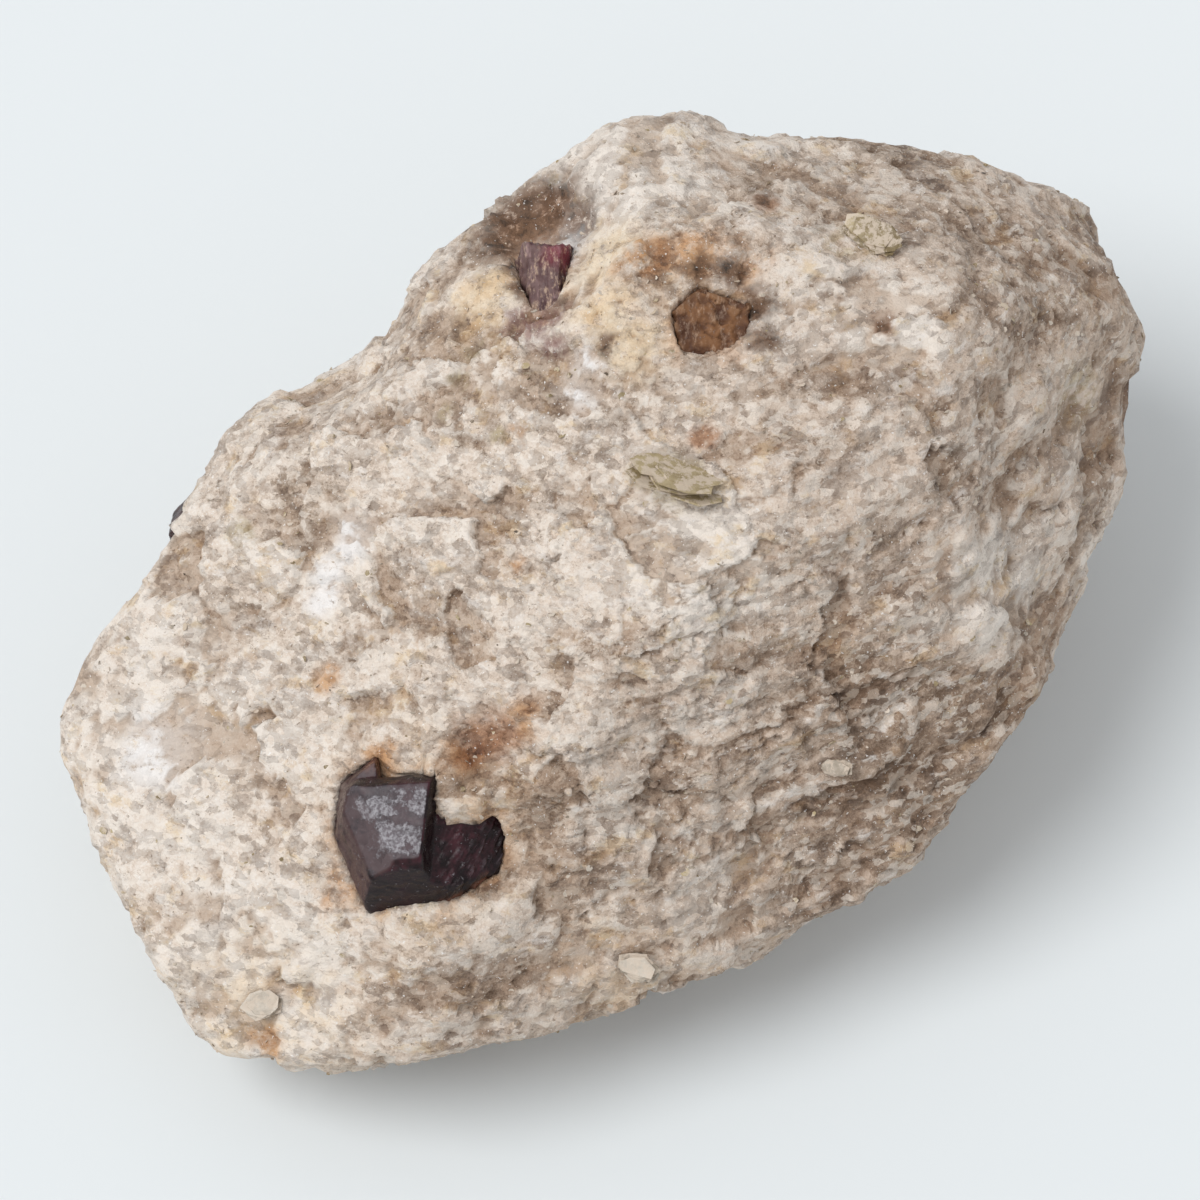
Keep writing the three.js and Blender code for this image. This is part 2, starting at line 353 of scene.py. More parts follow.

# %% [markdown]
# ## Where the stone is stained
#
# Rust spreads from the garnets, brown stains and crusts lie in some hollows, mica shows as olive streaks
# and the freshest breaks are white as chalk. Shade and light are painted shade and painted light, and dim
# and pale are partly painted shade and light and partly the rock's own tone. A painted map of them would
# have to be unwrapped, so the places are listed: a middle, measured from the heart of the stone, and a
# width, both in mm. Bending the space in which they are read makes their round borders ragged. Notch,
# wedge and pit shape the stone as well.

# %% Stains
STAINS = {
    "ochre": [((-17, -30, 8), 15), ((-33, -44, -9), 15), ((3, 15, 33), 12), ((-13, 20, 24), 7),
        ((24, -14, 16), 4), ((1, -39, -6), 10)],
    "orange": [((4.8, 18.7, 34.2), 5), ((-21, -23.4, 9.5), 3.4), ((-27, -14.5, 9.6), 2.6),
        ((-25, -34, 2.5), 3.4), ((-33, -44.5, -10), 3), ((-7, -21.5, 14.5), 3.4),
        ((9.7, 19.1, 33.7), 5.5), ((13.6, 18.7, 33.1), 4.5), ((-8, -8, 21), 1.8), ((-8, 4, 25.5), 1.8),
        ((-13, -24, 12.5), 4)],
    "brown": [((-11, -22.4, 13), 4.6), ((-7, 29.5, 23.5), 6.5), ((10, 1, 29.5), 1.8),
        ((53, 19.4, 6.6), 5), ((27.5, 12, 32.3), 2), ((16, 27, 30), 2.6), ((-6, 15, 27.5), 3)],
    "chalk": [((-24.5, -2.5, 16), 3.6), ((-26, -5.1, 13.8), 3), ((-27, -7.2, 12.5), 2.6),
        ((-1.6, 8.5, 30.6), 2.4), ((-2.5, 6, 30), 3.5), ((-5, 26, 28), 6), ((-44, -18, 2), 6)],
    # pale: partly painted light, partly the rock's own paler tone.
    "pale": [((-2, 37, 24), 10), ((39, -8, 14), 12), ((47, 12, 16), 10), ((28, 12.5, 32), 6),
        ((9.7, -33, -1), 10), ((0, -40, -5), 8), ((-44, -16, 2), 20), ((-34, -39, -6), 16),
        ((0, 33, 27), 15), ((9, -10, 26), 11), ((23, 14, 32), 8)],
    # dim: partly painted shade, partly the rock's own darker tone.
    "dim": [((-28.7, 3, 15), 6), ((33, -17, 8), 13), ((30, 36, 24), 17), ((40, 24, 26), 13),
        ((31, -17, 8), 18), ((16, 28, 29), 6), ((24, 27, 29), 6), ((19, 2, 30), 7), ((-36, -7, 9), 6)],
    # shade: painted shade.
    "shade": [((29, -20, 5), 16), ((24.5, -28, -4), 12), ((19.4, -21, 9.3), 8), ((34, -16, 8.5), 10),
        ((29, -7.6, 21), 6)],
    # light: painted light.
    "light": [((40, -6.5, 14), 11), ((9.5, -10.6, 26), 11), ((0, 33, 27.7), 12), ((9.8, 27.4, 30.8), 7),
        ((-34, -39.5, -6), 13), ((28.9, 12.4, 32.4), 8), ((51, 1, 8), 9)],
    "notch": [((-14.6, -27.7, 9.4), 4), ((-14.4, -25.5, 11), 3.5), ((-12.3, -27.2, 9), 3.2)],
    "pit": [((-6.5, 30, 24), 6), ((-2.5, 27.8, 25.8), 3.5)],
    "rust": [((-21.4, -24, 9.7), 2.2), ((-14.1, -35.8, 3.2), 2), ((-11.3, -34.1, 4.2), 1.6)],
    "moss": [((-15.1, 7.5, 23.9), 1.5), ((-13.8, 10.5, 24.6), 1.7), ((-12.7, 13.8, 24.8), 2),
        ((4.3, -1.8, 27.6), 2.4), ((8.6, -2.9, 28.9), 2.2), ((-35, 0.5, 12), 1.8),
        ((-9.7, 3.8, 24.8), 1.5)],
    "crimson": [((-3.9, 22.9, 27.9), 2.6)],
    "wedge": [((-15.8, -26.6, 10), 3), ((-15, -28.6, 9), 2.4)],
    "patina": [((-21.6, -30, 11.3), 2.6), ((-19.6, -32.5, 10.6), 2.6), ((-17.4, -29.3, 12), 2.2),
        ((-17.4, -32.6, 10.3), 2)],
    "crust": [((-8.4, 31.2, 22.5), 6.5), ((-5.5, 31.4, 24), 6), ((-2.5, 27.8, 25.8), 5),
        ((-9.9, 27.9, 22.9), 5), ((-8.3, 24, 24.8), 2.8), ((-8, 20.5, 26), 2), ((9.7, 17.4, 33.1), 2.6),
        ((12.6, 17.4, 32.7), 2.8), ((15.4, 14.8, 32.3), 2.8), ((15.6, 11.1, 31.8), 2.4),
        ((53, 19, 7), 4.5), ((27.5, 12, 32.3), 1.8), ((16, 28, 30), 2.2), ((31, 22, 30), 1.6),
        ((1.2, 9.9, 31.9), 1.6)],
    "cream": [((0, 21.2, 30.5), 6), ((0.5, 13, 31.5), 5), ((3, 9.3, 32), 4.5), ((-11.8, 19.9, 24.4), 5.5),
        ((-2, 25, 28), 4)],
    "plum": [((-5.2, 14.5, 28.2), 4.4), ((-4.3, 11, 30.1), 3), ((-7.3, 15.9, 27), 3.2)],
    "olive": [((-35, 0, 12), 2.4), ((-14, 14.6, 23.6), 2), ((47, 14, 17), 5), ((7, -3, 28), 4),
        ((24, 22, 31), 4)],
}


def stain(place, name):
    """0 to 1 over every stain with this name."""
    total = None
    for middle, width in STAINS[name]:
        centre = tuple(heart / MM + Vector(middle))
        here = place.distance(centre).fade(width, width * 0.25)
        total = here if total is None else total.most(here)
    return total


print("stains:", {name: len(places) for name, places in STAINS.items()})

# %% [markdown]
# ## A short way to write geometry trees
#
# Four things here follow a rule on a surface: the skin, the weathering of a garnet, a book of mica, and
# the flakes. Each is a tree of geometry nodes with named inputs. It is run on an empty holder and its
# result is kept as a plain mesh, so nothing is left to be worked out at render time.

# %% Helpers for geometry trees
def new_geometry_tree(name, inputs):
    """A geometry tree with named inputs; returns the tree and a function that gives an input."""
    tree = bpy.data.node_groups.new(name, "GeometryNodeTree")
    tree.is_modifier = True
    for label, (kind, value) in inputs.items():
        socket = tree.interface.new_socket(label, in_out="INPUT", socket_type="NodeSocket" + kind)
        if value is not None:
            socket.default_value = value
    tree.interface.new_socket("Geometry", in_out="OUTPUT", socket_type="NodeSocketGeometry")
    group = tree.nodes.new("NodeGroupInput")
    print(name, "takes:", list(inputs))
    return tree, lambda label: Wire(group.outputs[label])


def end_tree(geometry, material):
    whole = geometry.make("GeometryNodeRealizeInstances", None, {0: geometry})
    dressed = whole.make("GeometryNodeSetMaterial", None, {"Geometry": whole, "Material": material})
    tree = geometry.socket.id_data
    tree.links.new(dressed.socket, tree.nodes.new("NodeGroupOutput").inputs[0])


def moved(geometry, **where):
    """Points set to a new Position, or shifted by an Offset."""
    return geometry.make("GeometryNodeSetPosition", None, {"Geometry": geometry, **where})


def store(geometry, name, value, domain="POINT"):
    settings = {"data_type": "FLOAT", "domain": domain}
    values = {"Geometry": geometry, "Name": name, "Value": value}
    return geometry.make("GeometryNodeStoreNamedAttribute", settings, values)


def stored(tree, name):
    return Wire.node(tree, "GeometryNodeInputNamedAttribute", {"data_type": "FLOAT"}, {"Name": name})


def shape_of(thing):
    return thing.make("GeometryNodeObjectInfo", None, {"Object": thing}).also("Geometry")


def chance(low, high, seed):
    """A random number for each point or instance; the seed is a wire."""
    values = {2: low, 3: high, "Seed": seed}
    return seed.make("FunctionNodeRandomValue", {"data_type": "FLOAT"}, values, 1)


def run_tree(name, tree, inputs):
    """Runs a geometry tree and returns its result as a plain mesh, with no modifier left."""
    holder = linked(name, bpy.data.meshes.new(name))
    modifier = holder.modifiers.new("nodes", "NODES")
    modifier.node_group = tree
    for label, value in inputs.items():
        modifier[tree.interface.items_tree[label].identifier] = value
    return keep_result(holder)


print("a tree is run by", run_tree.__name__, "and dressed by", end_tree.__name__)

# %% [markdown]
# ## The skin of the stone
#
# A rock like this can be seen from one point inside it: every ray from its heart leaves through the skin
# once. Cutting up the loaded triangles would keep their long thin shapes, and remeshing them would
# soften the edges. So a fine ball is wrapped round the stone, and each of its points moves in along its
# ray until it hits. In a crystal's socket the distance is filled in from around it, but never past the
# crystal that lies there.

# %% Geometry nodes that wrap the stone
FAR = 120 * MM  # where the rays start, well outside the stone
MORE_ON_TOP = (0.0, -0.22, 0.46)  # draws the ball's columns towards the side that is looked at
UNDER_CRYSTAL = 0.35 * MM  # how far the skin stays below the top of a crystal
SOCKET_EDGE = 0.9  # mm round a crystal in which the distance is filled in
SUNK = 0.9  # mm that the skin lies deeper in the middle of a socket


def wrapped_ball(tree, given):
    """A fine ball moved in onto the core, with attributes for the distance to crystals and garnets."""
    here = Wire.node(tree, "GeometryNodeInputPosition")
    columns = given("Columns")
    sides = {"Size": (2, 2, 2), "Vertices X": columns, "Vertices Y": columns, "Vertices Z": columns}
    cube = Wire.node(tree, "GeometryNodeMeshCube", None, sides)
    even = here.times(math.pi / 4).vector("TANGENT")
    towards_top = even.vector("NORMALIZE").plus(MORE_ON_TOP)
    ball = moved(cube, Position=towards_top.vector("NORMALIZE"))
    outside = given("Heart").plus(here.times(FAR))

    def ray_onto(thing):
        ray = {0: shape_of(given(thing)), "Source Position": outside,
               "Ray Direction": here.times(-1.0), "Ray Length": FAR}
        return Wire.node(tree, "GeometryNodeRaycast", None, ray)

    hit = ray_onto("Core").also("Hit Position")
    radius = hit.distance(given("Heart"))
    crystal = ray_onto("Crystals")
    crystal_top = crystal.also("Hit Position").distance(given("Heart"))
    bare = crystal.also("Is Hit") * crystal_top.maths("GREATER_THAN", crystal_top, radius)
    under_crystal = crystal_top - UNDER_CRYSTAL + (1 - bare) * FAR * 2

    def away_from(thing):
        values = {0: shape_of(given(thing)), "Sample Position": hit}
        return Wire.node(tree, "GeometryNodeProximity", None, values).also("Distance")

    def blurred(name, rounds, weight):
        values = {0: stored(tree, name), "Iterations": rounds, "Weight": weight}
        return Wire.node(tree, "GeometryNodeBlurAttribute", {"data_type": "FLOAT"}, values)

    gap = away_from("Crystals") / MM
    ball = store(ball, "gap", gap)
    ball = store(ball, "socket", gap.maths("LESS_THAN", gap, SOCKET_EDGE))
    ball = store(ball, "garnet_distance", away_from("Garnets") / MM)
    ball = store(ball, "reach", radius)
    ball = store(ball, "reach", blurred("reach", 600, stored(tree, "socket")))
    ball = store(ball, "reach", blurred("reach", 3, 1.0).least(under_crystal))
    sunk = blurred("socket", 12, 1.0).fade(0.7, 1.0) * SUNK * MM
    wrapped = given("Heart").plus(here.times(stored(tree, "reach") - sunk))
    return moved(ball, Position=wrapped)


print("wraps a ball that starts", round(FAR / MM), "mm out")

# %% [markdown]
# ## The relief of the stone
#
# The smooth skin now gets what a broken face has: worn ends of the layers on the lower right, lumps,
# flat breaks, cracks along the layers and grain. A displacement image would need unwrapping, so it is a
# sum of rules, each with a height in mm that can be turned up or down. It is kept on the mesh, because
# the colours read it, and the hollows get painted shade from it.

# %% Geometry nodes for the relief
def skin_relief(tree, given):
    """The relief in mm, and a version of it without the special places for the colours to read."""
    place = Wire.node(tree, "GeometryNodeInputPosition").times(1 / MM)
    flat = flattened(place, 1.6)
    steps = (ledges(place, 6.5) - 0.6) * (0.15 + 0.85 * layered(place))
    lumps = noise(flat, 8.0, 6.0, 0.62) - 0.5
    breaks = facets(flattened(place, 1.25), 9.0)[0] + facets(flat, 3.4, 40.0)[0]
    ripples = noise(flat, 2.2, 5.0, 0.65, offset=31.0) - 0.5
    small = facets(flat, 1.8, 80.0)[0] * 0.7 + ripples * 1.6
    veins = noise(flattened(place, 2.2), 8.0, 5.0, 0.62, offset=57.0) - 0.5
    cracks = veins.maths("ABSOLUTE", veins).fade(0.022, 0.0) * noise(place, 9.0).fade(0.46, 0.6)
    calm = 0.3 + 0.7 * stored(tree, "gap").fade(0.1, 2.0)
    relief = steps * given("Ledge Height") + lumps * given("Lump Height") + breaks * given("Break Height")
    relief = (relief + small * given("Grain Height") - cracks * given("Crack Depth")) * calm
    pocked = 0.4 + noise(place, 1.6, 3.0, 0.6, offset=19.0)
    relief = relief + stain(place, "notch") * 1.7 + stain(place, "wedge") * 1.2
    relief = relief - stain(place, "pit") * pocked * 1.3
    return relief, small * 0.9 + lumps + breaks * 0.4 + steps * 0.5 - cracks * 0.7


def skin_tree():
    tree, given = new_geometry_tree("skin of the stone", {
        "Core": ("Object", None), "Crystals": ("Object", None), "Garnets": ("Object", None),
        "Material": ("Material", None), "Columns": ("Int", 122), "Heart": ("Vector", tuple(heart)),
        "Ledge Height": ("Float", 0.75), "Lump Height": ("Float", 0.9), "Break Height": ("Float", 0.2),
        "Grain Height": ("Float", 0.3), "Crack Depth": ("Float", 0.35)})
    relief, relief_for_colours = skin_relief(tree, given)
    skin = store(wrapped_ball(tree, given), "relief", relief_for_colours)
    skin = moved(skin, Offset=Wire.node(tree, "GeometryNodeInputNormal").times(relief * MM))
    here = Wire.node(tree, "GeometryNodeInputPosition")
    skin = moved(skin, Position=here.vector("MAXIMUM", (-1.0, -1.0, 0.0)))
    skin = skin.make("GeometryNodeSetShadeSmooth", None, {"Geometry": skin})
    end_tree(skin, given("Material"))
    return tree


gneiss = bpy.data.materials.new("gneiss")
stone = run_tree("gneiss_stone", skin_tree(),
                 {"Core": core, "Crystals": crystals, "Garnets": garnets, "Material": gneiss})
print("skin:", len(stone.data.polygons), "quads")

# %% [markdown]
# ## A short way to write materials
#
# Colours are given as a screen shows them and turned to linear light here. Every material reads the
# piece's own coordinates in mm, so a pattern has its true size on the stone.

# %% Helpers for materials
def srgb(red, green, blue):
    """The linear colour for a screen colour."""
    return tuple(((c / 255 + 0.055) / 1.055) ** 2.4 for c in (red, green, blue))


def mix(factor, first, second, blend="MIX"):
    """Blends two colours, each a tuple or a wire; the factor is a wire."""
    settings = {"data_type": "RGBA", "blend_type": blend}
    first, second = ((*c, 1) if isinstance(c, tuple) else c for c in (first, second))
    return factor.make("ShaderNodeMix", settings, {0: factor, 6: first, 7: second}, 2)


def darkened(factor, colour, tint):
    """The colour seen through a tint, as thin stain lets rock show through."""
    return mix(factor, colour, tint, "MULTIPLY")


def ramp(value, *stops):
    """Turns a value to a colour; each stop is a position and its colour."""
    return value.make("ShaderNodeValToRGB", {"stops": stops}, {0: value})


def bump(height, distance, strength):
    """Shades as if the surface had this height, where 1 stands for this distance in mm."""
    values = {"Height": height, "Distance": distance * MM, "Strength": strength}
    return height.make("ShaderNodeBump", None, values)


def attribute(tree, name):
    return Wire.node(tree, "ShaderNodeAttribute", {"attribute_name": name}).also("Fac")


def start_material(material):
    material.use_nodes = True
    tree = material.node_tree
    coordinates = Wire.node(tree, "ShaderNodeTexCoord").also("Object")
    return tree, tree.nodes["Principled BSDF"], coordinates.times(1 / MM)


def feed(shader, **inputs):
    """Links a wire to, or sets a plain value on, the shader's own sockets."""
    for name, value in inputs.items():
        socket = shader.inputs[name.replace("_", " ")]
        if isinstance(value, Wire):
            shader.id_data.links.new(value.socket, socket)
        else:
            socket.default_value = value


print("cream feldspar in linear light:", [round(part, 2) for part in srgb(240, 230, 219)])

# %% [markdown]
# ## The minerals of the gneiss
#
# Feldspar is chalky cream, quartz is grey and glassy, and mica is olive or silver. Cells alone would give
# each grain a hard border, like a mosaic. Real grains are intergrown, so cloudy noise at many sizes is
# added up to one grey value, which one ramp turns into the rock's colours. Crisp grains of quartz and
# feldspar, white veins and honey tints lie on top. Dim, pale, shade and light shift the grey value: shade
# and light as painted shade and painted light, and dim and pale partly so and partly as the rock's own
# tone. The hollows of the relief get a little painted shade, and the side turned away from the lamp is
# darker, partly as painted shade and partly as greyer rock.

# %% Minerals of the gneiss
def minerals(tree, place, relief):
    """The colour of the clean rock, its bump, and the patterns that the stains read as well."""
    flat = flattened(place, 1.6)
    ragged = bent(place, 3.0, 4.5)
    # side grows towards the right and lower front end, the side turned away from the lamp.
    side = place.dot((0.80, -0.42, -0.2)).fade(-24, 36)

    grain_height, grain_colour = facets(flat, 1.15, 15.0)
    sugar_height, sugar_colour = facets(place, 0.5, 27.0)
    grain = Wire.node(tree, "ShaderNodeSeparateXYZ", None, {0: grain_colour})
    sugar = Wire.node(tree, "ShaderNodeSeparateXYZ", None, {0: sugar_colour})
    clouds = noise(bent(flat, 2.6, 2.4), 7.0, 10.0, 0.72)
    milk = noise(flat, 1.7, 6.0, 0.66, offset=11.0)
    dust = noise(place, 0.22, 3.0, 0.7, offset=5.0)
    # The relief term is painted shade and light: hollows a little darker, ridges a little paler.
    grey = clouds * 0.42 + milk * 0.44 + grain * 0.09 + sugar * 0.12 + side * 0.02 - relief * 0.06
    grey = grey + (dust - 0.5) * 0.36
    # Shade and light are painted shade and painted light; dim and pale are partly so and partly the rock's
    # own tone.
    pale = stain(ragged, "pale")
    light = stain(ragged, "light")
    grey = grey - (grey - 0.53).most(0) * pale * 0.35
    grey = grey + stain(ragged, "dim") * 0.10 - pale * 0.11
    grey = grey + stain(ragged, "shade") * 0.07 - light * 0.09 - 0.018
    colour = ramp(grey, (0.38, srgb(240, 230, 219)), (0.50, srgb(229, 214, 199)),
                  (0.59, srgb(212, 195, 179)), (0.68, srgb(184, 165, 147)), (0.80, srgb(142, 121, 102)))
    # Partly painted shade: darker on the side turned away from the lamp, partly greyer rock; painted light
    # takes some of it back.
    colour = darkened(side * (0.85 - 0.75 * light), colour, srgb(222, 211, 202))

    glass = noise(bent(flat, 1.6, 2.6), 3.6, 6.0, 0.6, offset=17.0)
    glass = (glass + grain.also("Y") * 0.08).fade(0.57, 0.63) * milk.fade(0.36, 0.5)
    colour = darkened(glass * 0.75, colour, srgb(214, 210, 208))
    quartz = (grain.also("Y") * 0.42 + clouds).fade(0.74, 0.78)
    colour = darkened(quartz * 0.5, colour, srgb(202, 199, 197))
    feldspar = (grain.also("Z") * 0.42 - clouds).fade(-0.20, -0.16)
    colour = mix(feldspar * 0.45, colour, srgb(241, 231, 219))
    white = noise(bent(flattened(place, 2.4), 2.0, 2.0), 3.2, 7.0, 0.65, offset=77.0)
    colour = mix(white.fade(0.56, 0.68) * 0.55, colour, srgb(240, 233, 226))
    honey = noise(bent(flat, 2.0, 2.0), 4.0, 5.0, 0.65, offset=91.0).fade(0.55, 0.68)
    colour = darkened(honey * 0.6, colour, srgb(242, 224, 188))
    height = sugar_height * 0.5 + grain_height * 0.6 + milk * 0.5 + dust * 0.36 - glass * 0.12
    return colour, height, glass, clouds, milk


print("pale stains:", len(STAINS["pale"]))

# %% [markdown]
# ## The weathering of the gneiss
#
# Water carries iron out of the garnets. It leaves ochre and orange where it is thin and brown crusts
# where it dries, and the hollows of the relief get painted shade. Rock shows through thin stain but not
# through a crust, so the first multiplies and the second covers. Each stain also reads a noise, so that
# it soaks into some grains and skips others.

# %% Weathering of the gneiss
def weathered(tree, place, relief, colour, clouds, milk):
    """The colour with every stain and crust, painted shade in the hollows, and where the fine pits are."""
    flat = flattened(place, 1.6)
    ragged = bent(place, 3.0, 4.5)
    cream = stain(ragged, "cream") * milk.fade(0.66, 0.5)
    butter = mix(clouds.fade(0.4, 0.6), srgb(243, 226, 198), srgb(228, 202, 164))
    colour = mix(cream * 0.6, colour, butter)
    soaked = noise(place, 3.2, 6.0, 0.65, offset=41.0)
    ochre = stain(ragged, "ochre") * soaked.fade(0.36, 0.66)
    colour = darkened(ochre * 0.5, colour, srgb(250, 226, 186))
    halo = attribute(tree, "garnet_distance").fade(2.2, 0.1) * soaked.fade(0.42, 0.62)
    orange = (stain(ragged, "orange") * soaked.fade(0.34, 0.58)).most(halo * 0.6)
    colour = darkened(orange * 0.8, colour, srgb(222, 176, 124))
    brown = stain(ragged, "brown") * milk.fade(0.22, 0.5)
    colour = darkened(brown * 0.8, colour, srgb(196, 150, 112))

    chips = noise(bent(place, 0.9, 1.2), 1.5, 5.0, 0.7, offset=52.0)
    crust = stain(ragged, "crust") * chips.fade(0.70, 0.54)
    crusted = mix(chips.fade(0.34, 0.52), srgb(50, 36, 26), srgb(110, 80, 57))
    colour = mix(crust * 0.95, colour, crusted)
    streaks = noise(place.stretched((1.0, 0.35, 0.35)), 0.8, 4.0, 0.65, offset=8.0)
    plum = stain(ragged, "plum") * streaks.fade(0.36, 0.56)
    colour = mix(plum * 0.85, colour, srgb(146, 112, 106))
    olive = stain(ragged, "olive") * milk.fade(0.4, 0.55)
    colour = darkened(olive * 0.5, colour, srgb(218, 210, 170))
    moss = stain(bent(place, 1.6, 2.4), "moss") * chips.fade(0.36, 0.5)
    mossy = mix(streaks.fade(0.4, 0.6), srgb(132, 112, 78), srgb(188, 172, 136))
    colour = mix(moss * 0.75, colour, mossy)
    chalk = stain(ragged, "chalk") * milk.fade(0.70, 0.50)
    colour = mix(chalk * 0.95, colour, srgb(246, 242, 239))

    # Painted shade: the hollows of the relief are darkened.
    painted_hollow_shade = relief.fade(-0.25, -1.0)
    colour = darkened(painted_hollow_shade * 0.55, colour, srgb(190, 168, 146))
    pits = noise(flat, 0.8, 4.0, 0.65, offset=63.0).fade(0.64, 0.72)
    colour = darkened(pits * 0.6, colour, srgb(150, 124, 98))
    veins = noise(bent(flat, 1.0, 0.8), 2.4, 4.0, 0.6, offset=68.0) - 0.5
    lines = veins.maths("ABSOLUTE", veins).fade(0.010, 0.002) * milk.fade(0.46, 0.6)
    return darkened(lines * 0.5, colour, srgb(150, 122, 96)), pits


print("places with a crust:", len(STAINS["crust"]))

# %% [markdown]
# ## The gneiss itself
#
# Fresh quartz is glassy and feldspar is dull, and tiny faces of mica flash. So roughness falls on the
# quartz and on the glints, which are also painted into the colour as white specks of painted highlight,
# while the bump carries the sugar that is too fine for the mesh.

# %% The gneiss itself
def dress_gneiss(material):
    tree, shader, place = start_material(material)
    relief = attribute(tree, "relief")
    colour, height, glass, clouds, milk = minerals(tree, place, relief)
    colour, pits = weathered(tree, place, relief, colour, clouds, milk)
    # Painted glints: white specks of painted highlight, where the roughness also drops.
    painted_glints = noise(place, 0.34, 2.0, 0.6, offset=24.0).fade(0.66, 0.72) * clouds.fade(0.36, 0.5)
    colour = mix(painted_glints * 0.75, colour, srgb(250, 247, 243))
    feed(shader, Base_Color=colour, Roughness=0.78 - glass * 0.35 - painted_glints * 0.3,
         Normal=bump(height - pits * 0.25, 1.0, 0.6))


dress_gneiss(gneiss)
print("gneiss nodes:", len(gneiss.node_tree.nodes))

# %% [markdown]
# ## The weathering of a garnet
#
# A garnet grows as a solid with twelve or twenty-four flat faces, but in the ground its edges wear, small
# chips break off, and broken parts show fine parallel grooves. The flat faces come from the loaded
# model. Bump alone would leave the outline straight, so a tree presses wear, chips and grooves into a
# copy with small even faces. How much a face looks up or left is kept for the colours.

# %% Geometry nodes that weather a crystal
def garnet_tree():
    tree, given = new_geometry_tree("weathered crystal", {
        "Crystal": ("Object", None), "Material": ("Material", None), "Groove Across": ("Vector", (1, 0, 0)),
        "Groove Depth": ("Float", 0.1), "Groove From": ("Float", -1000.0), "Chip Depth": ("Float", 0.2),
        "Roughness": ("Float", 0.2), "Wear": ("Int", 5), "Seed": ("Float", 0.0)})
    here = Wire.node(tree, "GeometryNodeInputPosition")
    worn = Wire.node(tree, "GeometryNodeBlurAttribute", {"data_type": "FLOAT_VECTOR"},
                     {"Value": here, "Iterations": given("Wear"), "Weight": 1.0})
    body = moved(shape_of(given("Crystal")), Position=worn)
    place = here.times(1 / MM)
    seeded = place.plus(xyz(given("Seed"), 0.0, 0.0))
    across = seeded.dot(given("Groove Across"))
    thin = seeded.plus(given("Groove Across").times(across * 5.0))
    grooves = noise(thin, 2.4, 3.0, 0.6)
    chips = facets(seeded, 1.6)[0]
    rough = noise(seeded, 1.1, 4.0, 0.6, offset=9.0) - 0.5
    grooved = (place.dot((1, 0, 0)) - given("Groove From")).fade(-0.6, 0.6)
    relief = (grooves - 0.55) * given("Groove Depth") * grooved + chips * given("Chip Depth")
    relief = relief + rough * given("Roughness")
    body = store(body, "grooved", grooved)
    body = store(body, "relief", relief)
    normal = Wire.node(tree, "GeometryNodeInputNormal")
    for name, way in (("faces_up", (-0.30, -0.22, 0.93)), ("faces_left", (-0.88, -0.10, 0.46))):
        body = store(body, name, normal.dot(way))
    body = moved(body, Offset=normal.times(relief * MM))
    body = body.make("GeometryNodeSetShadeSmooth", None, {"Geometry": body})
    end_tree(body, given("Material"))
    return tree


weather = garnet_tree()

# %% [markdown]
# ## The garnets themselves
#
# Each loaded garnet is remeshed to even faces of 0.12 to 0.17 mm, since subdividing would keep long thin
# ones, and then weathered. The large one is broken along its right side, so its grooves start only
# there. The one at the top is grooved all over, and the soft brown one is mostly rough.

# %% Make the garnets
def fine_copy(name, source, size):
    """A closed copy of a loaded piece with small even faces of this size."""
    made = closed_copy(name, source)
    modifier = made.modifiers.new("fine", "REMESH")
    modifier.mode = "VOXEL"
    modifier.voxel_size = size * MM
    return keep_result(made)


dark_garnet = bpy.data.materials.new("garnet")
striated_garnet = bpy.data.materials.new("striated garnet")
brown_garnet = bpy.data.materials.new("weathered garnet")
low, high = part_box("garnet_large")
broken_from = (low.x + 0.62 * (high.x - low.x)) / MM


garnet_pieces = {}


def make_garnet(name, size, **inputs):
    rough_body = fine_copy(name + " body", name, size)
    named = {key.replace("_", " "): value for key, value in inputs.items()}
    made = run_tree(name + "_crystal", weather, {"Crystal": rough_body, **named})
    bpy.data.objects.remove(rough_body)
    garnet_pieces[name] = made
    print(name, len(made.data.polygons), "faces")


make_garnet("garnet_large", 0.17, Material=dark_garnet, Groove_Across=(0.87, -0.43, -0.25),
            Groove_Depth=0.9, Groove_From=broken_from, Chip_Depth=0.12, Roughness=0.22, Wear=4, Seed=3.0)
make_garnet("garnet_upper_left", 0.12, Material=striated_garnet, Chip_Depth=0.2,
            Groove_Across=(1.0, 0.1, 0.0), Groove_Depth=0.9, Roughness=0.4, Seed=7.0)
make_garnet("garnet_brown", 0.15, Material=brown_garnet, Chip_Depth=0.3,
            Groove_Across=(0.7, 0.7, 0.0), Groove_Depth=0.2, Roughness=0.7, Seed=12.0)
make_garnet("garnet_left_edge", 0.12, Material=dark_garnet, Chip_Depth=0.1,
            Groove_Across=(0.0, 0.6, 0.8), Groove_Depth=0.2, Roughness=0.2, Seed=17.0)
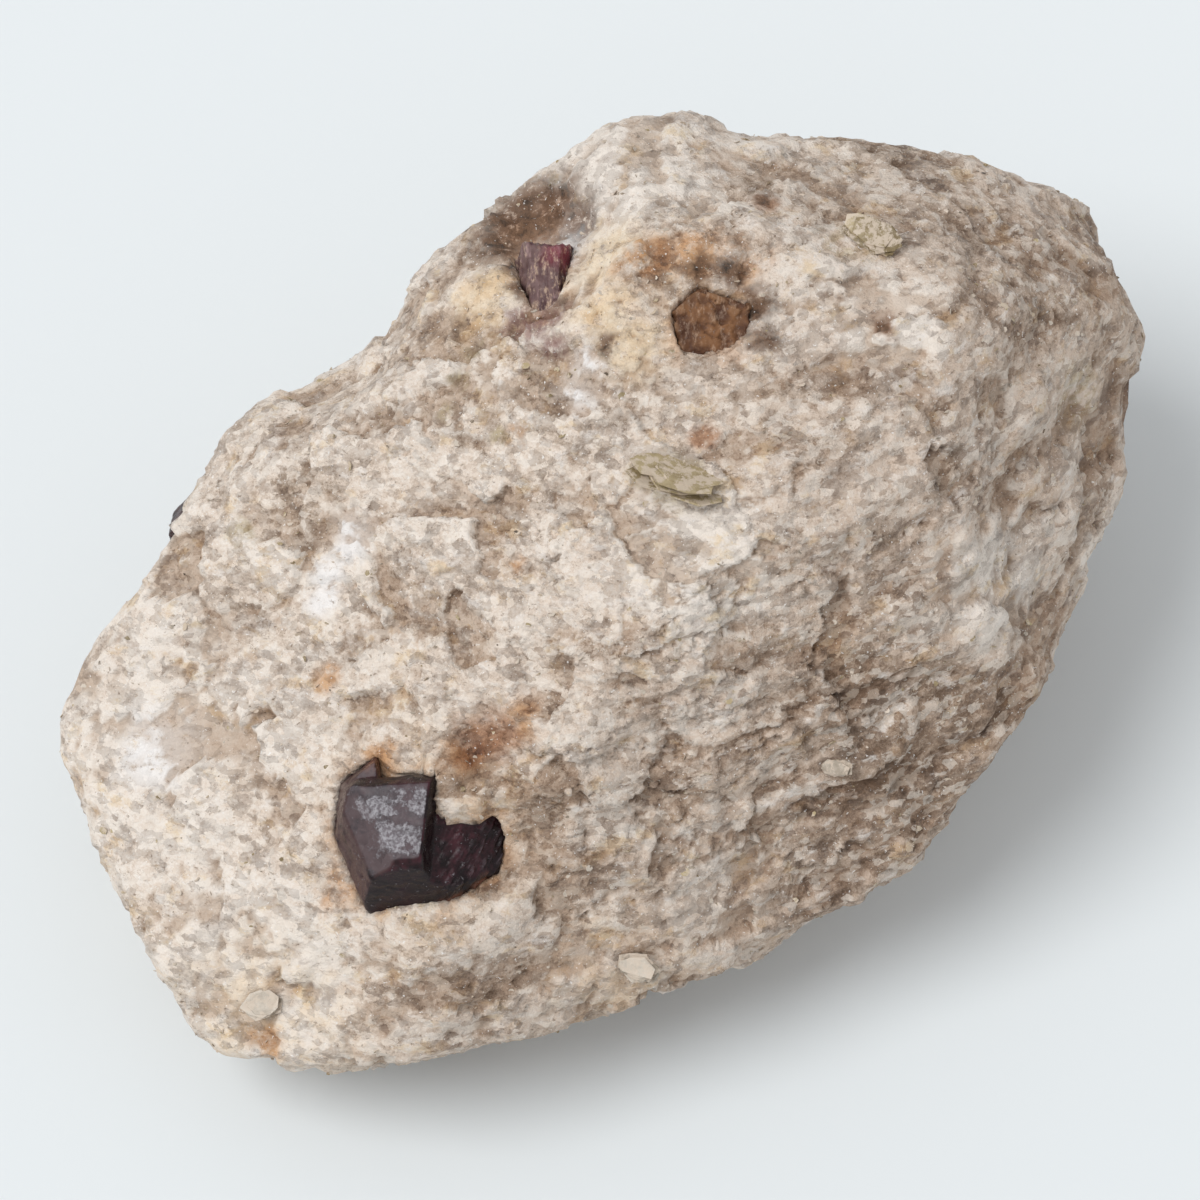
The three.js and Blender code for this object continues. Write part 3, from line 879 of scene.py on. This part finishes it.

# %% [markdown]
# ## The looks of garnet
#
# Inside, a garnet is deep plum red. A grey film and patchy crust cover the faces that look up, with rust
# at their edge and crumbs of rock in the grooves. Clear red glass would suit a gem, but these are cracked
# and lined with film, so little light comes back out. Faces that look up get a lighter tone, partly as
# painted light, and faces turned to the left, towards the lamp, are painted lighter as painted light. The
# hollows of chips and grooves get painted shade in the deep colour, and the ridges of the grooves get
# painted highlights. One rule dresses all three looks, which differ in colours and amounts only.

# %% The three looks of garnet
def dress_garnet(material, deep, painted_lit_tone, side, film, film_amount, roughness, stone_dust=0.0):
    """deep is the crystal's own colour, and bright a lighter tone of it that only the faces looking up get,
    so it is partly painted light. side is painted light on the faces turned to the left, towards the lamp.
    film is the grey crust on its upper faces, and stone_dust is how much rock sticks to it."""
    tree, shader, place = start_material(material)
    relief = attribute(tree, "relief")
    grooved = attribute(tree, "grooved")
    up = attribute(tree, "faces_up")
    left = attribute(tree, "faces_left")
    tint = noise(place, 2.2, 6.0, 0.65)
    fine = noise(place, 0.3, 3.0, 0.65, offset=28.0)
    # Partly painted light: only the faces that look up, towards the lamp, get the lighter tone.
    colour = mix(tint.fade(0.38, 0.66) * up.fade(0.2, 0.75), deep, painted_lit_tone)
    # Painted light: faces turned to the left, towards the lamp, get the lighter side colour.
    colour = mix(left.fade(0.35, 0.8) * tint.fade(0.3, 0.5), colour, side)
    haze = up.fade(0.82, 0.95) * (1 - grooved)
    colour = mix(haze * 0.36 * film_amount, colour, film)
    patches = noise(bent(place, 1.4, 1.0), 2.0, 8.0, 0.7, offset=2.0)
    patches = patches + stain(bent(place, 1.0, 1.0), "patina") * 0.16 - 0.02
    crust = patches.fade(0.54, 0.60) * haze * (0.6 + 0.4 * fine.fade(0.38, 0.58))
    scratches = noise(place, 0.6, 5.0, 0.7, offset=15.0)
    thin = scratches.fade(0.60, 0.68) * (0.45 + 0.25 * grooved)
    crust = crust.most(thin)
    colour = mix(crust * 0.85, colour, mix(fine.fade(0.3, 0.7), film, srgb(172, 170, 174)))
    # Painted shade: the hollows of chips and grooves fall back to the deep colour.
    colour = mix(relief.fade(0.02, -0.2) * 0.6, colour, deep)
    # Painted highlights: the raised ridges of the grooves get a colour halfway to the film.
    painted_highlight_colour = tuple((one + other) / 2 for one, other in zip(painted_lit_tone, film))
    colour = mix(relief.fade(0.02, 0.2) * grooved * 0.7, colour, painted_highlight_colour)
    rust = stain(bent(place, 1.0, 1.2), "rust") * tint.fade(0.34, 0.52)
    colour = mix(rust * 0.65, colour, srgb(136, 92, 74))
    crimson = stain(bent(place, 1.0, 1.0), "crimson")
    colour = mix(crimson * 0.7, colour, srgb(134, 44, 62))
    crumbs = noise(place.stretched((1.0, 0.4, 0.4)), 0.5, 6.0, 0.75, offset=33.0)
    crumbs = (crumbs + stain(place, "plum") * 0.2).fade(0.5, 0.68)
    colour = mix(crumbs * stone_dust, colour, srgb(206, 178, 154))
    height = scratches * 0.35 + crust * 0.25 + patches * 0.2 + fine * 0.15
    feed(shader, Base_Color=colour, Roughness=roughness + crust * 0.35 + haze * 0.1,
         Normal=bump(height, 0.3, 0.7), Specular_IOR_Level=0.25)


dress_garnet(dark_garnet, deep=srgb(24, 12, 15), painted_lit_tone=srgb(68, 34, 41), side=srgb(74, 54, 53),
             film=srgb(116, 110, 115), film_amount=1.0, roughness=0.22)
dress_garnet(striated_garnet, deep=srgb(82, 58, 60), painted_lit_tone=srgb(138, 94, 102), side=srgb(112, 88, 86),
             film=srgb(172, 154, 150), film_amount=0.6, roughness=0.4, stone_dust=0.8)
dress_garnet(brown_garnet, deep=srgb(78, 48, 32), painted_lit_tone=srgb(132, 92, 60), side=srgb(112, 80, 56),
             film=srgb(150, 118, 90), film_amount=0.6, roughness=0.55, stone_dust=0.4)
print("garnet nodes:", len(dark_garnet.node_tree.nodes))

# %% [markdown]
# ## A book of mica
#
# Mica splits into sheets, and a book is a stack of them whose edges never quite line up. One solid with
# lines on its side would not catch the light on each edge. So a tree stacks thin seven-sided sheets, each
# turned, shifted and sized a little differently, and makes their outlines ragged and their faces wavy.

# %% Geometry nodes for a book
def book_tree():
    tree, given = new_geometry_tree("book of mica", {
        "Length": ("Float", 4.0), "Width": ("Float", 3.0), "Thickness": ("Float", 1.0),
        "Sheets": ("Int", 9), "Fan": ("Float", 0.15), "Seed": ("Int", 1), "Material": ("Material", None)})
    here = Wire.node(tree, "GeometryNodeInputPosition")
    count = given("Sheets")
    step = given("Thickness") / count
    sheet = Wire.node(tree, "GeometryNodeMeshCylinder", {"fill_type": "NGON"},
                      {"Vertices": 7, "Radius": 0.5, "Depth": step * 0.86})
    line = Wire.node(tree, "GeometryNodeMeshLine", {"mode": "OFFSET"},
                     {"Count": count, "Offset": xyz(0.0, 0.0, step)})

    def pick(low, high, number):
        return chance(low, high, given("Seed") + number)

    turn = xyz(pick(-0.03, 0.03, 1), pick(-0.03, 0.03, 2), pick(-0.2, 0.2, 3))
    size = xyz(given("Length") * pick(0.85, 1.1, 4), given("Width") * pick(0.8, 1.1, 5), 1.0)
    stack = Wire.node(tree, "GeometryNodeInstanceOnPoints", None,
                      {"Points": line, "Instance": sheet, "Rotation": turn, "Scale": size})
    shift = xyz(pick(-0.3, 0.3, 6) * given("Fan") * given("Length"),
                pick(-0.3, 0.3, 7) * given("Fan") * given("Width"))
    stack = stack.make("GeometryNodeTranslateInstances", None,
                       {"Instances": stack, "Translation": shift})
    stack = store(stack, "tint", pick(0.0, 1.0, 8), "INSTANCE")
    whole = Wire.node(tree, "GeometryNodeRealizeInstances", None, {0: stack})
    ragged = noise(here, 0.8, 3.0, 0.6, out=1).minus((0.5, 0.5, 0.5))
    whole = moved(whole, Offset=ragged.stretched((2.2, 2.2, 0.0)))
    wave = (noise(here.stretched((1.0, 1.0, 0.0)), 3.0, 1.0) - 0.5) * 0.5
    end_tree(moved(whole, Offset=xyz(0.0, 0.0, wave)), given("Material"))
    return tree


books = book_tree()

# %% [markdown]
# ## The five books
#
# How a book lies is read from its loaded piece: its widest face is a sheet, and the corner farthest from
# the middle gives its long direction. The stack is made flat at the origin in mm, moved there and sunk a
# little, because the real books are held in the rock by their lower sheets.

# %% Make the books
SHEET_THICKNESS = 0.13
BOOK_SUNK = 0.34
OLIVE_BOOKS = ("mica_book_centre", "mica_book_upper")


def lie_of(name):
    """The frame of a flat piece, from its widest face: middle, axes and sizes along them."""
    piece = closed_copy("flat piece", name)
    up = max(piece.data.polygons, key=lambda face: face.area).normal.copy()
    points = [vertex.co.copy() for vertex in piece.data.vertices]
    middle = sum(points, Vector()) / len(points)
    level = [p - middle - up * (p - middle).dot(up) for p in points]
    lengthwise = max(level, key=lambda p: p.length).normalized()
    side = up.cross(lengthwise)
    axes = Matrix((lengthwise, side, up)).transposed()
    spans = [[(p - middle).dot(axis) for p in points] for axis in (lengthwise, side, up)]
    bpy.data.objects.remove(piece)
    return middle, axes, [(max(span) - min(span)) / MM for span in spans]


olive_mica = bpy.data.materials.new("olive mica")
clear_mica = bpy.data.materials.new("clear mica")
mica_pieces = {}
for seed, name in enumerate(mica_names):
    middle, axes, (length, width, thickness) = lie_of(name)
    mica = olive_mica if name in OLIVE_BOOKS else clear_mica
    made = run_tree(name + "_sheets", books, {
        "Length": length, "Width": width, "Thickness": thickness, "Seed": seed * 11 + 2,
        "Sheets": max(5, round(thickness / SHEET_THICKNESS)), "Material": mica})
    made.data.transform(Matrix.Translation(middle) @ axes.to_4x4() @ Matrix.Scale(MM, 4)
                        @ Matrix.Translation((0, 0, -thickness / 2 - BOOK_SUNK)))
    mica_pieces[name] = made
    print(name, [round(v, 1) for v in (length, width, thickness)], "mm,", len(made.data.polygons), "faces")

# %% [markdown]
# ## The looks of mica
#
# A sheet of mica is smooth and pearly, and each in a stack has a shade of its own, which the tree has
# stored. A thin coat over a rougher base gives the pearly shine, and crumbs of rock cover it in patches.

# %% Looks of mica
def dress_mica(material, first, second, roughness):
    tree, shader, place = start_material(material)
    fine = noise(place, 0.5, 5.0, 0.7)
    tint = attribute(tree, "tint") * 0.3 + noise(place, 1.6, 5.0, 0.65) * 0.45 + fine * 0.25
    colour = mix(tint.fade(0.3, 0.68), first, second)
    crumbs = noise(bent(place, 0.8, 0.8), 1.1, 5.0, 0.7, offset=36.0)
    colour = mix(crumbs.fade(0.44, 0.54) * 0.75, colour, srgb(212, 196, 178))
    feed(shader, Base_Color=colour, Roughness=roughness + fine * 0.25, Normal=bump(fine, 0.3, 0.6),
         Coat_Weight=0.2, Coat_Roughness=0.15)


dress_mica(olive_mica, srgb(116, 98, 62), srgb(184, 167, 130), 0.38)
dress_mica(clear_mica, srgb(146, 133, 116), srgb(212, 201, 186), 0.25)
print("mica nodes:", len(olive_mica.node_tree.nodes))

# %% [markdown]
# ## Flakes of mica
#
# The surface is dusted with flakes of mica, mostly under a millimetre wide and along the skin. Each is a
# bright or dark speck according to how it faces the light. Painted specks would shine all at once, so
# they are real little plates of eight faces, gathered in patches.

# %% Geometry nodes for flakes
def flake_tree():
    tree, given = new_geometry_tree("flakes on the stone", {
        "Stone": ("Object", None), "Material": ("Material", None), "Density": ("Float", 0.2),
        "Small": ("Float", 0.3), "Wide": ("Float", 0.9), "Patch": ("Float", 0.5), "Tilt": ("Float", 0.5),
        "Seed": ("Int", 1)})
    here = Wire.node(tree, "GeometryNodeInputPosition")
    stone_shape = shape_of(given("Stone"))
    place = here.times(1 / MM)
    patchy = noise(flattened(place, 1.6), 6.0, 3.0, 0.6, offset=71.0)
    open_top = here.maths("GREATER_THAN", here.dot((0, 0, 1)), 1.0 * MM)
    much = (patchy - given("Patch")).maths("MULTIPLY_ADD", patchy - given("Patch"), 9.0, 0.5)
    much = much.most(0.0).least(1.0) * given("Density") * open_top
    spread = Wire.node(tree, "GeometryNodeDistributePointsOnFaces", {"distribute_method": "RANDOM"},
                       {"Mesh": stone_shape, "Seed": given("Seed"), "Density": much * 1e6})
    normal = spread.also("Normal")
    shake = Wire.node(tree, "FunctionNodeRandomValue", {"data_type": "FLOAT_VECTOR"},
                      {0: (-1, -1, -1), 1: (1, 1, 1), "Seed": given("Seed")})
    lean = normal.plus(shake.times(given("Tilt")))
    facing = Wire.node(tree, "FunctionNodeAlignRotationToVector", {"axis": "Z"}, {"Vector": lean})
    plate = Wire.node(tree, "GeometryNodeMeshCylinder", {"fill_type": "NGON"},
                      {"Vertices": 6, "Radius": 0.5 * MM, "Depth": 0.05 * MM})
    squash = chance(0.45, 1.0, given("Seed") + 5)
    few_large = chance(0.0, 1.0, given("Seed")) ** 3.0
    wide = given("Small") + (given("Wide") - given("Small")) * few_large
    size = xyz(wide, wide * squash, 1.0)
    flakes = Wire.node(tree, "GeometryNodeInstanceOnPoints", None,
                       {"Points": spread, "Instance": plate, "Rotation": facing, "Scale": size})
    flakes = store(flakes, "tint", squash * 1.8 - 0.8, "INSTANCE")
    end_tree(flakes, given("Material"))
    return tree


flake_rule = flake_tree()

# %% [markdown]
# ## Silver, olive and dark flakes
#
# Three runs of the one tree differ in seed, size and density, in flakes for each square mm. Silver ones
# are the most common, and the few dark ones are black mica.

# %% Scatter the flakes
dark_mica = bpy.data.materials.new("dark mica")
dress_mica(dark_mica, srgb(60, 48, 38), srgb(112, 96, 74), 0.35)


def scatter(name, look, **inputs):
    made = run_tree(name, flake_rule, {"Stone": stone, "Material": look, **inputs})
    print(name, len(made.data.polygons) // 8, "flakes")
    return made


flakes = [
    scatter("silver_flakes", clear_mica, Density=0.22, Small=0.15, Wide=0.8, Patch=0.45, Tilt=1.0, Seed=4),
    scatter("olive_flakes", olive_mica, Density=0.07, Small=0.25, Wide=1.1, Patch=0.5, Tilt=1.0, Seed=15),
    scatter("dark_flakes", dark_mica, Density=0.03, Small=0.15, Wide=0.7, Patch=0.52, Tilt=0.6, Seed=26),
]

# %% [markdown]
# ## Sockets
#
# A crystal that is taken out of its rock leaves its print behind. The skin was filled in over the
# garnets, so their sockets are now cut out of it, with copies of the garnets that have a tenth of the
# faces, because a print needs less detail than the crystal. A cut can leave loose crumbs, which are
# deleted. The books of mica simply lie in the skin.

# %% Cut the sockets
def carve(body, cutter):
    modifier = body.modifiers.new("sockets", "BOOLEAN")
    modifier.operation = "DIFFERENCE"
    modifier.solver = "MANIFOLD"
    modifier.object = cutter
    keep_result(body)


def drop_crumbs(mesh, fewest):
    """Deletes the loose bits that a cut leaves behind: those with fewer corners than this."""
    work = bmesh.new()
    work.from_mesh(mesh)
    seen = set()
    crumbs = []
    for start in work.verts:
        if start in seen:
            continue
        seen.add(start)
        part = [start]
        for corner in part:
            for edge in corner.link_edges:
                other = edge.other_vert(corner)
                if other not in seen:
                    seen.add(other)
                    part.append(other)
        if len(part) < fewest:
            crumbs += part
    bmesh.ops.delete(work, geom=crumbs, context="VERTS")
    work.to_mesh(mesh)
    work.free()
    return len(crumbs)


CUTTER_SHARE = 0.1  # of the faces of a garnet
SMALLEST_PART = 200  # corners
before = len(stone.data.polygons)
for piece in garnet_pieces.values():
    cutter = piece.copy()
    bpy.context.collection.objects.link(cutter)
    cutter.modifiers.new("fewer faces", "DECIMATE").ratio = CUTTER_SHARE
    carve(stone, cutter)
    bpy.data.objects.remove(cutter)
print("corners of crumbs deleted:", drop_crumbs(stone.data, SMALLEST_PART))
triangles = sum(len(face.vertices) - 2 for face in stone.data.polygons)
print("stone faces before and after:", before, len(stone.data.polygons), "triangles:", triangles)

# %% [markdown]
# ## Stand in for the loaded pieces
#
# Nothing moves on a stone, so every piece rides on its one body. Each crystal and the stone replace the
# loaded piece that they were made from, and the flakes replace nothing.

# %% Stand the pieces in
def stand_in(piece, slot, *replaced):
    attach(piece, "root")
    if replaced:
        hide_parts(*replaced)


stand_in(stone, "matrix", "matrix")
GARNET_SLOTS = {"garnet_upper_left": "garnet_striated", "garnet_brown": "garnet_weathered"}
for name, piece in garnet_pieces.items():
    stand_in(piece, GARNET_SLOTS.get(name, "garnet"), name)
for name, piece in mica_pieces.items():
    stand_in(piece, "mica_olive" if name in OLIVE_BOOKS else "mica_clear", name)
for piece in flakes:
    stand_in(piece, "mica_clear" if piece.name == "silver_flakes" else "mica_olive")
for helper in (core, crystals, garnets):
    bpy.data.objects.remove(helper)
print("pieces:", 1 + len(garnet_pieces) + len(mica_pieces) + len(flakes))

# %% [markdown]
# ## Compare the boxes and finish
#
# The finer stone has to fill the same box as the loaded one. How far each corner moved is printed in mm.

# %% Print how far the box moved and finish
visual_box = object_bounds()
for label, new, old in zip(("low", "high"), visual_box, cad_box):
    print(label, "corner moved by, mm:", [round((a - b) / MM, 2) for a, b in zip(new, old)])
